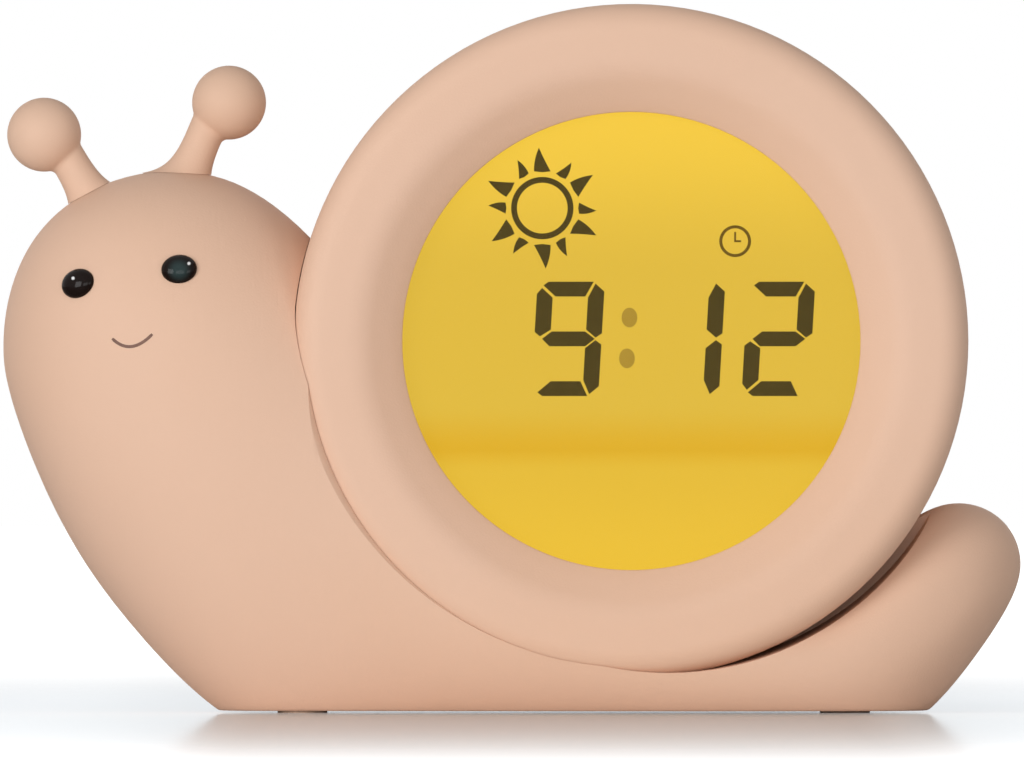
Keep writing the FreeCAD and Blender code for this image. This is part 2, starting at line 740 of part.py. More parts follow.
def led_board():
    board = disc(led_board_radius, led_board_y, led_board_y + board_thickness)
    holes = [rod(x, z, post_radius + moving_gap, -drum_depth, 0) for x, z in drum_posts]
    holes += [rod(x, z, small_screw_radius + lip_gap, -drum_depth, 0) for x, z in board_posts]
    return board.cut(holes)


def led_group():
    """Lamps in rings on the front of their board."""
    lamps = []
    for circle, count in led_rings:
        for step in range(count):
            x, z = on_circle(circle, 90 + 360 * step / count)
            half = led_size / 2
            lamps.append(box(x - half, x + half, led_board_y - led_height, led_board_y,
                             z - half, z + half))
    return Part.makeCompound(lamps)


# Electronics behind

def carrier_board(x, z, width, height, y, posts):
    board = rounded_plate(x, z, width, height, 1.0, y, y + board_thickness)
    return board.cut([rod(px, pz, small_screw_radius + lip_gap, y - 1, y + board_thickness + 1)
                      for px, pz in posts])


def chip_group():
    """Chips on the front of the main board."""
    chips = []
    for dx, dz, width, height in chip_places:
        chips.append(rounded_plate(drum_x + dx, button_z + dz, width, height, 0.3,
                                   main_board_y - chip_height, main_board_y))
    return Part.makeCompound(chips)


def tact_group():
    """The click switches under the buttons. They are the buttons' springs."""
    group = []
    base_y = main_board_y + board_thickness
    half = tact_size / 2
    for x in button_xs:
        base = box(x - half, x + half, base_y, base_y + tact_height, button_z - half, button_z + half)
        group.append(base.fuse(rod(x, button_z, tact_plunger_radius, base_y + tact_height, plunger_y)))
    return Part.makeCompound(group)


def board_screws():
    """The screws of both rear boards, driven from the front."""
    group = []
    for places, y in ((main_board_posts, main_board_y), (port_board_posts, port_board_y)):
        for x, z in places:
            head = rod(x, z, small_head_radius, y - small_head_height, y)
            shank = rod(x, z, small_screw_radius, y, y + small_screw_length)
            group.append(head.fuse(shank))
    return Part.makeCompound(group)


def button(x):
    """A round cap through the rear cover, with a flange that keeps it in."""
    cap = rod(x, button_z, button_radius, button_flange_y, drum_depth + button_proud)
    rim = [e for e in cap.Edges if e.BoundBox.YMin > drum_depth]
    cap = cap.makeFillet(0.5, rim)
    flange = rod(x, button_z, button_flange_radius, button_flange_y,
                 button_flange_y + button_flange_thickness)
    stem = rod(x, button_z, button_stem_radius, button_flange_y - button_stem_length, button_flange_y)
    return cap.fuse([flange, stem]).removeSplitter()


def slide_knob():
    """The alarm switch's knob at its off end, with the plate that covers its slot inside."""
    x = switch_x - switch_travel / 2
    top = drum_depth + knob_proud
    plate_y = rear_inside - knob_gap - knob_plate_thickness
    tip = rounded_plate(x, port_z, knob_width, knob_height, 0.5, plate_y, top)
    for groove in (-1, 0, 1):
        tip = tip.cut(box(x + groove * 0.9 - 0.2, x + groove * 0.9 + 0.2, top - 0.3, top + 1,
                          port_z - knob_height, port_z + knob_height))
    reach = knob_width + 2 * switch_travel + 2 * knob_gap + knob_plate_margin
    plate = box(x - reach / 2, x + reach / 2, plate_y, plate_y + knob_plate_thickness,
                port_z - knob_height / 2 - knob_plate_margin, port_z + knob_height / 2 + knob_plate_margin)
    return tip.fuse(plate).removeSplitter()


def switch_body():
    y = port_board_y + board_thickness
    return box(switch_x - switch_body_width / 2, switch_x + switch_body_width / 2,
               y, y + switch_body_depth,
               port_z - switch_body_height / 2, port_z + switch_body_height / 2)


def inlet_socket():
    """The power inlet: an oval metal shell with a tongue in it."""
    y = port_board_y + board_thickness
    shell = rounded_plate(inlet_x, port_z, inlet_width, inlet_height, inlet_height / 2 - 0.01,
                          y, y + inlet_depth)
    bore = rounded_plate(inlet_x, port_z, inlet_width - 2 * inlet_wall, inlet_height - 2 * inlet_wall,
                         inlet_height / 2 - inlet_wall - 0.01, y + 1, y + inlet_depth + 1)
    tongue = box(inlet_x - inlet_width * 0.35, inlet_x + inlet_width * 0.35, y + 0.5,
                 y + inlet_depth - 1, port_z - inlet_tongue / 2, port_z + inlet_tongue / 2)
    return shell.cut(bore).fuse(tongue)


def speaker_frame():
    """The basket: a flat rim with a cone of metal that carries the magnet."""
    rim_y = rear_inside - seat_gap - speaker_frame_thickness
    back_y = rear_inside - seat_gap - speaker_depth
    points = [(speaker_radius, rim_y), (speaker_radius, rim_y + speaker_frame_thickness),
              (speaker_radius - 2, rim_y + speaker_frame_thickness), (speaker_radius - 2, rim_y),
              (magnet_radius, back_y + 0.8), (0, back_y + 0.8), (0, back_y),
              (magnet_radius + 0.6, back_y), (speaker_radius - 1, rim_y)]
    corners = [V(drum_x + r, y, speaker_z) for r, y in points]
    face = Part.Face(Part.makePolygon(corners + corners[:1]))
    return face.revolve(V(drum_x, 0, speaker_z), V(0, 1, 0), 360)


def speaker_cone():
    """The paper cone with its dust cap."""
    rim_y = rear_inside - seat_gap - speaker_frame_thickness
    points = [(speaker_radius - 2.1, rim_y + 0.5), (speaker_radius - 2.1, rim_y + 0.2),
              (3.0, rim_y - 2.4), (0, rim_y - 2.4), (0, rim_y - 1.6), (2.8, rim_y - 2.0)]
    corners = [V(drum_x + r, y, speaker_z) for r, y in points]
    face = Part.Face(Part.makePolygon(corners + corners[:1]))
    return face.revolve(V(drum_x, 0, speaker_z), V(0, 1, 0), 360)


def battery_door():
    """The lid over the cells, with grip ribs and two screw ears."""
    door = door_outline(0, door_inner_y, drum_depth)
    for x, z in door_posts:
        door = door.cut([rod(x, z, small_screw_radius + thread_gap, 0, drum_depth),
                         rod(x, z, small_head_radius + lip_gap, drum_depth - small_head_height,
                             drum_depth + 1)])
    for i in range(door_rib_count):
        z = door_z + (i - (door_rib_count - 1) / 2) * door_rib_pitch
        door = door.cut(box(drum_x - door_width / 6, drum_x + door_width / 6,
                            drum_depth - door_rib_depth, drum_depth + 1,
                            z - door_rib_width / 2, z + door_rib_width / 2))
    return door


def cell_group():
    """The cells side by side, turned about in turn."""
    group = []
    y = bay_floor_y + cell_gap + cell_radius
    for i, z in enumerate(cell_zs):
        way = 1 if i % 2 else -1
        x0 = drum_x - way * (cell_length + cell_nub_length) / 2
        can = Part.makeCylinder(cell_radius, cell_length, V(x0, y, z), V(way, 0, 0))
        can = can.makeFillet(0.4, circles(can, cell_radius))
        nub = Part.makeCylinder(cell_nub_radius, cell_nub_length + 0.5,
                                V(x0 + way * (cell_length - 0.5), y, z), V(way, 0, 0))
        group.append(can.fuse(nub).removeSplitter())
    return Part.makeCompound(group)


def contact_group():
    """Bent leaf springs at both ends of the bay, one pair for each cell."""
    group = []
    y = bay_floor_y + cell_gap + cell_radius
    for z in cell_zs:
        for side in (-1, 1):
            foot_x = drum_x + side * (bay_length / 2 - seat_gap)
            tip_x = drum_x + side * ((cell_length + cell_nub_length) / 2 + seat_gap)
            half = cell_radius * 0.7
            outer_arc = Part.Arc(V(foot_x, y - half, z), V(tip_x, y, z), V(foot_x, y + half, z))
            inner_x = tip_x + side * contact_thickness
            inner_arc = Part.Arc(V(foot_x, y + half - contact_thickness, z), V(inner_x, y, z),
                                 V(foot_x, y - half + contact_thickness, z))
            edges = [outer_arc.toShape(),
                     Part.makeLine(V(foot_x, y + half, z), V(foot_x, y + half - contact_thickness, z)),
                     inner_arc.toShape(),
                     Part.makeLine(V(foot_x, y - half + contact_thickness, z), V(foot_x, y - half, z))]
            leaf = Part.Face(Part.Wire(edges)).extrude(V(0, 0, cell_radius))
            leaf.translate(V(0, 0, -cell_radius / 2))
            group.append(leaf)
    return Part.makeCompound(group)


# The assembly

body_skin = body_form(0)
body_hollow = body_form(wall)
front_half, rear_half = body_halves(body_skin, body_hollow)
save(front_half, "body_front")
save(rear_half, "body_rear")
save(antenna(body_skin, antenna_left_base, antenna_left_top, antenna_left_ball), "antenna_left")
save(antenna(body_skin, antenna_right_base, antenna_right_top, antenna_right_ball),
     "antenna_right")
save(eye(body_skin, eye_left_place), "eye_left")
save(eye(body_skin, eye_right_place), "eye_right")
save(foot_group(), "foot_pads")
save(screws(ear_places + list(body_posts), screw_radius, screw_head_radius, screw_head_height,
            body_screw_seat, -screw_bite), "body_screws")

save(shell_front(), "shell_front")
save(shell_rear(), "shell_rear")
save(screws(drum_posts, screw_radius, screw_head_radius, screw_head_height, drum_screw_seat,
            -screw_bite), "shell_screws")

save(disc(disc_radius, lens_y + seat_gap, gasket_y), "window_lens")
save(ring(disc_radius - gasket_width, disc_radius, gasket_y + seat_gap, lcd_y), "lens_gasket")
save(lcd_glass(), "lcd_glass")
save(disc(disc_radius, diffuser_y + seat_gap, light_box_y), "diffuser")
save(ring(disc_radius - light_box_wall, disc_radius, light_box_y + seat_gap, led_board_y - seat_gap),
     "light_box")
save(led_board(), "led_board")
save(led_group(), "leds")
save(screws(board_posts, small_screw_radius, small_head_radius, small_head_height,
            led_board_y + board_thickness, led_board_y + board_thickness - small_screw_length),
     "led_board_screws")

save(carrier_board(drum_x, button_z, main_board_width, main_board_height, main_board_y,
                   main_board_posts), "main_board")
save(carrier_board(drum_x, port_z, port_board_width, port_board_height, port_board_y,
                   port_board_posts), "port_board")
save(chip_group(), "main_chips")
save(tact_group(), "tact_switches")
save(board_screws(), "board_screws")
save(box(drum_x + ribbon_shift - ribbon_width / 2, drum_x + ribbon_shift + ribbon_width / 2,
         led_board_y + board_thickness, main_board_y, button_z + ribbon_rise,
         button_z + ribbon_rise + ribbon_thickness),
     "ribbon_cable")
save(inlet_socket(), "inlet_socket")
save(switch_body(), "switch_body")
save(slide_knob(), "slide_knob")
for name, button_x in zip(button_names, button_xs):
    save(button(button_x), name)

save(speaker_frame(), "speaker_frame")
save(speaker_cone(), "speaker_cone")
save(rod(drum_x, speaker_z, magnet_radius, rear_inside - speaker_depth - magnet_height - seat_gap,
         rear_inside - speaker_depth - seat_gap), "speaker_magnet")

save(battery_door(), "battery_door")
save(screws(door_posts, small_screw_radius, small_head_radius, small_head_height - seat_gap,
            drum_depth - small_head_height + seat_gap / 2,
            drum_depth - small_head_height - door_screw_length + 1), "door_screws")
save(cell_group(), "battery_cells")
save(contact_group(), "battery_contacts")
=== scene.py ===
"""A snail-shaped wake-up clock with a night light, dressed for the studio."""
import json
import math

import bmesh
import bpy
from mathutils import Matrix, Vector
from mathutils.bvhtree import BVHTree

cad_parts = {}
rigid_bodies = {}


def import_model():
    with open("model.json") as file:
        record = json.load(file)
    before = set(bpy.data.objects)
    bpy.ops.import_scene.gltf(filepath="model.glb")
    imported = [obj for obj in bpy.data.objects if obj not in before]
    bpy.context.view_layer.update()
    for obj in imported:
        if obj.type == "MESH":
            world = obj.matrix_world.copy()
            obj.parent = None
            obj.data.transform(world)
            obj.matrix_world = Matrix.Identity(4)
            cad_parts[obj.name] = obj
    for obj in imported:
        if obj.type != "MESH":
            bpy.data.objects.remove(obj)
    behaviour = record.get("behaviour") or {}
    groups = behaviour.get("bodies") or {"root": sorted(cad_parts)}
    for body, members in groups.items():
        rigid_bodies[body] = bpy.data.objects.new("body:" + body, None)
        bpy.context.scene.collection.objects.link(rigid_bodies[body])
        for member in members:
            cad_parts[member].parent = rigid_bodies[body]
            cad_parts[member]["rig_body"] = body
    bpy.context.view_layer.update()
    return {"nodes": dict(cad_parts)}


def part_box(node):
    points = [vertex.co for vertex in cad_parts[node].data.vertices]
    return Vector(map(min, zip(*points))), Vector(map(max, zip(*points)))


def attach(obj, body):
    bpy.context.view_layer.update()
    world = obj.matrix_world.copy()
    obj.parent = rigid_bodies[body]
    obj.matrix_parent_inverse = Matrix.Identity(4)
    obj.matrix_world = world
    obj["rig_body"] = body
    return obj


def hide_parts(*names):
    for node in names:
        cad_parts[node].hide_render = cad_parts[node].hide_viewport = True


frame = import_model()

# The camera stands square to the clock's face with a long lens, so that the base is seen edge on
# and nothing tapers. Its frame is the photograph's: the object almost fills the width.
mm = 0.001
frame_width = 0.16613
camera_distance = 6.0
sensor_width = 36.0
view_middle = Vector((0.0, 0.0, 0.0526))

camera_data = bpy.data.cameras.new("camera")
camera_data.sensor_width = sensor_width
camera_data.lens = sensor_width * camera_distance / frame_width
camera = bpy.data.objects.new("camera", camera_data)
camera.location = view_middle + Vector((0.0, -camera_distance, 0.0))
camera.rotation_euler = (math.radians(90), 0.0, 0.0)
bpy.context.collection.objects.link(camera)
bpy.context.scene.camera = camera
bpy.context.scene.view_settings.view_transform = "Standard"


# The body is two hollow mouldings in one soft-touch plastic, closed in a vertical plane. The
# lacquer is matt and even, with a very fine grain that only shows where light grazes it.

class Wire:
    """A node's output that Python arithmetic can use. Each operator adds one Math node."""

    def __init__(self, finish, socket):
        self.finish = finish
        self.socket = socket

    def maths(self, operation, *values):
        return self.finish.node("ShaderNodeMath", {"operation": operation}, dict(enumerate(values)))

    def __add__(self, other):
        return self.maths("ADD", self, other)

    def __sub__(self, other):
        return self.maths("SUBTRACT", self, other)

    def __rsub__(self, other):
        return self.maths("SUBTRACT", other, self)

    def __mul__(self, other):
        return self.maths("MULTIPLY", self, other)

    __radd__ = __add__
    __rmul__ = __mul__


class Finish:
    """A procedural material: one Principled shader and the nodes that feed it."""

    def __init__(self, name, **fixed):
        self.material = bpy.data.materials.new(name)
        self.material.use_nodes = True
        self.tree = self.material.node_tree
        self.shader = self.tree.nodes["Principled BSDF"]
        self.place = self.node("ShaderNodeTexCoord", output="Object")
        for socket, value in fixed.items():
            self.feed(socket.replace("_", " ").title().replace("Ior", "IOR"), value)

    def node(self, kind, settings=None, values=None, output=0):
        """Adds a node: its settings first, then a value or a link for each named socket."""
        made = self.tree.nodes.new(kind)
        for setting, value in (settings or {}).items():
            setattr(made, setting, value)
        for socket, value in (values or {}).items():
            self.join(made.inputs[socket], value)
        return Wire(self, made.outputs[output])

    def join(self, socket, value):
        if isinstance(value, Wire):
            self.tree.links.new(value.socket, socket)
        else:
            socket.default_value = value

    def feed(self, socket, value):
        self.join(self.shader.inputs[socket], value)

    def noise(self, scale, detail=2.0):
        """A soft random pattern from 0 to 1, with features of about 1 / scale metres."""
        return self.node("ShaderNodeTexNoise", None,
                         {"Vector": self.place, "Scale": scale, "Detail": detail}, "Fac")

    def step(self, value, low, high):
        """Rises smoothly from 0 to 1 as a value goes from low to high."""
        return self.node("ShaderNodeMapRange", {"interpolation_type": "SMOOTHSTEP"},
                         {"Value": value, "From Min": low, "From Max": high})

    def blend(self, share, first, second):
        """One colour where share is 0 and the other where it is 1."""
        return self.node("ShaderNodeMix", {"data_type": "RGBA"}, {0: share, 6: first, 7: second}, 2)

    def bump(self, height, depth):
        """Raises the surface by height times depth metres."""
        self.feed("Normal", self.node("ShaderNodeBump", None,
                                      {"Height": height, "Distance": depth, "Strength": 1.0}))


def colour(red, green, blue):
    """A screen colour, 0 to 255, as the linear colour that a shader takes."""
    def linear(part):
        part /= 255
        return part / 12.92 if part <= 0.04045 else ((part + 0.055) / 1.055) ** 2.4
    return (linear(red), linear(green), linear(blue), 1.0)


drift_scale = 18.0
grain_scale = 2600.0
grain_depth = 0.02 * mm
grain_gloss = 0.08
weld = 0.002 * mm


def soft_touch(name, base, shade, roughness=0.62):
    """Matt lacquered plastic: two close tones in slow drifts, and a fine orange-peel grain."""
    finish = Finish(name, specular_ior_level=0.32)
    drift = finish.step(finish.noise(drift_scale), 0.35, 0.65)
    grain = finish.noise(grain_scale, 1.0)
    finish.feed("Base Color", finish.blend(drift, colour(*base), colour(*shade)))
    finish.feed("Roughness", grain * grain_gloss + (roughness - grain_gloss / 2))
    finish.bump(grain, grain_depth)
    return finish


def creased(mesh, crease):
    """Merges a mesh's corners and shades it smooth, but for edges past the crease in degrees."""
    work = bmesh.new()
    work.from_mesh(mesh)
    bmesh.ops.remove_doubles(work, verts=work.verts, dist=weld)
    for face in work.faces:
        face.smooth = True
    for edge in work.edges:
        edge.smooth = edge.calc_face_angle(0.0) < math.radians(crease)
    work.to_mesh(mesh)
    work.free()
    return mesh


def dressed(node, name, finish, crease=32.0):
    """Stands for a moulded node: the same form with smooth shading and its finish."""
    piece = bpy.data.objects.new(name, creased(frame["nodes"][node].data.copy(), crease))
    bpy.context.collection.objects.link(piece)
    piece.data.materials.clear()
    piece.data.materials.append(finish.material)
    body = frame["nodes"][node]["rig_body"]
    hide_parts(node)
    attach(piece, body)
    return piece


shell_finish = soft_touch("soft_touch_beige", (228, 190, 165), (226, 187, 161))
front_skin = dressed("body_front", "body_front_moulding", shell_finish)
dressed("body_rear", "body_rear_moulding", shell_finish)


# The antennae are softer mouldings with ball ends, plugged into two slots in the head. They have
# the body's colour and a touch less sheen.
horn_finish = soft_touch("soft_touch_horn", (227, 190, 165), (224, 186, 160), 0.66)
for node in ("antenna_left", "antenna_right"):
    dressed(node, node + "_moulding", horn_finish, 40.0)


# The eyes are domed black beads in a high gloss, pressed through the face. Each carries a painted
# highlight, a small white dot where a catch-light shows, and a paler iris that shows in the right
# one.
# Where each eye's painted highlight sits, in millimetres across and up, seen from the front.
painted_glint_places = {"eye_left": (-70.98, 70.35), "eye_right": (-52.2, 72.73)}
painted_glint_inner, painted_glint_outer = 0.12 * mm, 0.36 * mm
iris_inner, iris_outer = 0.6 * mm, 2.3 * mm
iris_tones = {"eye_left": (26, 17, 15), "eye_right": (46, 60, 60)}


def spot(finish, x, z, inner, outer):
    """1 in a round spot seen from the front, falling to 0 between two radii."""
    flat = finish.node("ShaderNodeVectorMath", {"operation": "MULTIPLY"},
                       {0: finish.place, 1: (1.0, 0.0, 1.0)})
    distance = finish.node("ShaderNodeVectorMath", {"operation": "DISTANCE"},
                           {0: flat, 1: (x, 0.0, z)}, "Value")
    return 1 - finish.step(distance, inner, outer)


for node in ("eye_left", "eye_right"):
    eye_low, eye_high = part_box(node)
    eye_middle = (eye_low + eye_high) / 2
    light_x, light_z = painted_glint_places[node]
    eye_finish = Finish(node + "_gloss", roughness=0.08, specular_ior_level=0.1)
    iris = spot(eye_finish, eye_middle.x, eye_middle.z, iris_inner, iris_outer)
    # Painted highlight: a white dot in the bead's base colour that stands for a lamp's catch-light.
    painted_glint_spot = spot(eye_finish, light_x * mm, light_z * mm, painted_glint_inner, painted_glint_outer)
    eye_tone = eye_finish.blend(iris, colour(22, 10, 6), colour(*iris_tones[node]))
    eye_finish.feed("Base Color", eye_finish.blend(painted_glint_spot, eye_tone, colour(240, 240, 240)))
    dressed(node, node + "_bead", eye_finish, 50.0)


# The mouth is a thin printed line on the face, a shallow smile that lifts at both ends. It lies
# on the moulding: each place along it is found by a ray from the front.
mouth_points = ((-64.6, 60.6), (-61.5, 59.3), (-58.1, 61.3))
mouth_steps = 24
mouth_half_width = 0.25 * mm
mouth_lift = 0.03 * mm
mouth_blunt = 0.75
mouth_taper = 6
slope_reach = 0.01
ray_start = -0.1
face_tree = BVHTree.FromPolygons([v.co for v in front_skin.data.vertices],
                                 [p.vertices for p in front_skin.data.polygons])


def on_face(x, z):
    """The place and the outward direction of the body's front at a place seen from the front."""
    hit, normal, _, _ = face_tree.ray_cast(Vector((x, ray_start, z)), Vector((0, 1, 0)))
    return hit, normal


def smile(share):
    """A place on the arc through the mouth's ends and its lowest point."""
    (x0, z0), (x1, z1), (x2, z2) = mouth_points
    bend_x = 2 * x1 - (x0 + x2) / 2
    bend_z = 2 * z1 - (z0 + z2) / 2
    rest = 1 - share
    return (Vector((x0, z0)) * rest * rest + Vector((bend_x, bend_z)) * 2 * rest * share
            + Vector((x2, z2)) * share * share) * mm


def line_on_face(name, path, half_width, steps, finish):
    """A printed line that lies on the face: a strip with blunt ends."""
    work = bmesh.new()
    rows = []
    for step in range(steps + 1):
        share = step / steps
        here = path(share)
        ahead, behind = path(min(1, share + slope_reach)), path(max(0, share - slope_reach))
        side = (ahead - behind).orthogonal().normalized()
        to_end = min(share, 1 - share)
        swell = half_width * min(1.0, mouth_blunt + mouth_taper * to_end)
        row = []
        for across in (-1, 0, 1):
            flat = here + side * swell * across
            hit, normal = on_face(flat.x, flat.y)
            row.append(work.verts.new(hit + normal * mouth_lift))
        rows.append(row)
    for low, high in zip(rows, rows[1:]):
        for left in (0, 1):
            work.faces.new((low[left], low[left + 1], high[left + 1], high[left])).smooth = True
    mesh = bpy.data.meshes.new(name)
    work.normal_update()
    for face in work.faces:
        if face.normal.y > 0:
            face.normal_flip()
    work.to_mesh(mesh)
    work.free()
    mesh.materials.append(finish.material)
    piece = bpy.data.objects.new(name, mesh)
    bpy.context.collection.objects.link(piece)
    return piece


mouth_finish = Finish("mouth_print", roughness=0.5)
mouth_ink = mouth_finish.step(mouth_finish.noise(900.0), 0.3, 0.7)
mouth_finish.feed("Base Color", mouth_finish.blend(mouth_ink, colour(100, 62, 44),
                                                   colour(114, 74, 54)))
mouth = line_on_face("mouth", smile, mouth_half_width, mouth_steps, mouth_finish)
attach(mouth, "root")


# The drum's two shells are moulded in the body's plastic. The front one is the soft ring round
# the window.
drum_finish = soft_touch("soft_touch_drum", (229, 191, 166), (227, 188, 162))
dressed("shell_front", "drum_front_moulding", drum_finish)
dressed("shell_rear", "drum_rear_moulding", drum_finish)


# The window is a clear disc with a faint warm haze. Behind its edge lies a black foam ring that
# keeps dust and stray light out of the display.
lens_finish = Finish("window_clear", roughness=0.08, specular_ior_level=0.12, alpha=0.02)
lens_haze = lens_finish.step(lens_finish.noise(30.0), 0.2, 0.8)
lens_finish.feed("Base Color", lens_finish.blend(lens_haze, colour(240, 200, 110),
                                                 colour(230, 190, 100)))
dressed("window_lens", "window_disc", lens_finish)

foam_finish = Finish("black_foam", roughness=0.95)
foam_cells = foam_finish.noise(3000.0, 1.0)
foam_finish.feed("Base Color", foam_finish.blend(foam_cells, colour(20, 19, 18),
                                                 colour(44, 42, 40)))
foam_finish.bump(foam_cells, 0.08 * mm)


# The display is a liquid crystal glass with its lamp light behind, painted into the glass and the
# diffuser as a glow that is brighter towards the top of the window. The glass ends above the foot
# of the window, so that the bare diffuser shows below it, and the light is weaker at their border.
lcd_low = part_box("lcd_glass")[0]
lcd_foot = lcd_low.z
window_foot, window_top = 23.2 * mm, 97.3 * mm
bright_from = 70.0 * mm
band_above = 7.5 * mm
band_below = 3.5 * mm
band_core = 0.5 * mm
unlit = colour(60, 45, 10)


def height_in(finish):
    """The height above the floor as a shader value."""
    return finish.node("ShaderNodeSeparateXYZ", None, {"Vector": finish.place}, "Z")


def lit(node, finish, glow):
    """Gives a display plate of the model its finish, with light from behind in the tone glow."""
    finish.feed("Base Color", unlit)
    finish.feed("Emission Color", glow)
    finish.feed("Emission Strength", 0.93)
    materials = frame["nodes"][node].data.materials
    materials.clear()
    materials.append(finish.material)


lcd_finish = Finish("display_amber", roughness=0.35, specular_ior_level=0.04)
lcd_height = height_in(lcd_finish)
lcd_rise = lcd_finish.step(lcd_height, bright_from, window_top)
lcd_band = 1 - lcd_finish.step(lcd_height, lcd_foot, lcd_foot + band_above)
lcd_tone = lcd_finish.blend(lcd_rise, colour(226, 188, 62), colour(250, 207, 66))
lit("lcd_glass", lcd_finish, lcd_finish.blend(lcd_band, lcd_tone, colour(226, 177, 36)))

diffuser_finish = Finish("diffuser_amber", roughness=0.5, specular_ior_level=0.04)
diffuser_height = height_in(diffuser_finish)
diffuser_rise = diffuser_finish.step(diffuser_height, window_foot, lcd_foot - mm)
diffuser_band = diffuser_finish.step(diffuser_height, lcd_foot - band_below, lcd_foot + band_core)
diffuser_tone = diffuser_finish.blend(diffuser_rise, colour(240, 196, 56), colour(232, 190, 56))
lit("diffuser", diffuser_finish,
    diffuser_finish.blend(diffuser_band, diffuser_tone, colour(226, 177, 38)))


# The figures and signs are dark segments in the display glass. Each is a thin plate on its face.
segment_y = lcd_low.y
segment_depth = 0.03 * mm
digit_width = 10.9
digit_height = 18.5
upright = 2.6
bar = 2.4
digit_slant = math.tan(math.radians(3.3))
digit_foot = 51.3
middle = digit_height / 2

segment_finish = Finish("display_segment", roughness=0.5, specular_ior_level=0.03)
segment_grain = segment_finish.noise(700.0)
segment_finish.feed("Base Color", segment_finish.blend(segment_grain, colour(58, 50, 20),
                                                       colour(70, 60, 26)))


def turned(outline, flip_x=False, flip_z=False):
    """A segment's outline, mirrored within the digit's box."""
    return [(digit_width - x if flip_x else x, digit_height - z if flip_z else z)
            for x, z in outline]


top_bar = [(1.0, digit_height - 0.6), (1.8, digit_height), (digit_width - 1.8, digit_height),
           (digit_width - upright - 0.45, digit_height - bar), (upright + 0.45, digit_height - bar)]
middle_bar = [(1.25, middle), (2.75, middle + bar / 2), (digit_width - 2.75, middle + bar / 2),
              (digit_width - 1.1, middle), (digit_width - 2.6, middle - bar / 2),
              (2.5, middle - bar / 2)]
right_upright = [(digit_width - 1.5, digit_height - 0.3), (digit_width, digit_height - 1.6),
                 (digit_width, middle + 0.9), (digit_width - 1.0, middle + 0.2),
                 (digit_width - upright, middle + 1.5),
                 (digit_width - upright, digit_height - bar - 0.2)]
left_upright = [(0.8, digit_height - 1.0), (0, digit_height - 2.0), (0, middle + 1.1),
                (0.9, middle + 0.4), (upright, middle + 1.5), (upright, digit_height - bar - 0.2)]
segments = {"top": top_bar, "middle": middle_bar, "bottom": turned(top_bar, flip_z=True),
            "right_high": right_upright, "right_low": turned(right_upright, flip_z=True),
            "left_high": left_upright, "left_low": turned(left_upright, flip_z=True)}
digits = ((3.6, ("top", "middle", "bottom", "right_high", "right_low", "left_high")),
          (23.1, ("right_high", "right_low")),
          (37.65, ("top", "middle", "bottom", "right_high", "left_low")))


def plates(name, outlines, finish, y, depth, body="root"):
    """Thin plates with (x, z) outlines in millimetres, standing forward of the plane at y."""
    work = bmesh.new()
    for outline in outlines:
        front = [work.verts.new((x * mm, y - depth, z * mm)) for x, z in outline]
        back = [work.verts.new((x * mm, y, z * mm)) for x, z in outline]
        work.faces.new(front)
        for i in range(len(outline)):
            j = (i + 1) % len(outline)
            work.faces.new((front[i], back[i], back[j], front[j]))
        work.faces.new(back[::-1])
    bmesh.ops.recalc_face_normals(work, faces=work.faces)
    mesh = bpy.data.meshes.new(name)
    work.to_mesh(mesh)
    work.free()
    mesh.materials.append(finish.material)
    piece = bpy.data.objects.new(name, mesh)
    bpy.context.collection.objects.link(piece)
    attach(piece, body)
    return piece


digit_outlines = []
for digit_x, names in digits:
    for name in names:
        digit_outlines.append([(digit_x + x + (z - middle) * digit_slant, digit_foot + z)
                               for x, z in segments[name]])
plates("digits", digit_outlines, segment_finish, segment_y, segment_depth)


def ring_strip(x, z, inner, outer, steps=48):
    """A flat ring as quads."""
    around = [2 * math.pi * i / steps for i in range(steps + 1)]
    return [[(x + r * math.cos(a), z + r * math.sin(a))
             for r, a in ((inner, a0), (outer, a0), (outer, a1), (inner, a1))]
            for a0, a1 in zip(around, around[1:])]


# The sun sign is a ring with six long and six short flames round it, all leaning the same way.
sun_x, sun_z = 4.9, 81.7
ring_in, ring_out = 4.1, 5.05
ray_foot = 5.95
ray_sink = 0.15
ray_belly = 0.18
ray_bend = 0.32
ray_steps = 5
sun_rays = [(90 + 60 * i, ray_foot, 9.8, 1.35, 3.2) for i in range(6)]
sun_rays += [(60 + 60 * i, ray_foot, 8.75, 0.9, -2.6) for i in range(6)]


def flame(x, z, angle, inner, outer, half_base, lean):
    """A ray with curved sides whose tip leans by some degrees."""
    turn = math.radians(angle)
    out = Vector((math.cos(turn), math.sin(turn)))
    side = Vector((-out.y, out.x))
    tip_turn = math.radians(angle + lean)
    tip = Vector((math.cos(tip_turn), math.sin(tip_turn))) * outer
    left, right = out * inner + side * half_base, out * inner - side * half_base
    bend = math.copysign(ray_bend, lean)
    points = []
    for start, end, pull in ((left, tip, ray_belly + bend), (tip, right, bend - ray_belly)):
        knee = (start + end) / 2 + side * pull * 0.9
        for step in range(ray_steps):
            share = step / ray_steps
            rest = 1 - share
            points.append(start * rest * rest + knee * 2 * rest * share + end * share * share)
    points.append(right)
    points.append(out * (inner - ray_sink))
    return [(x + p.x, z + p.y) for p in points]


sun_outlines = ring_strip(sun_x, sun_z, ring_in, ring_out)
sun_outlines += [flame(sun_x, sun_z, *ray) for ray in sun_rays]
plates("sun_sign", sun_outlines, segment_finish, segment_y, segment_depth)


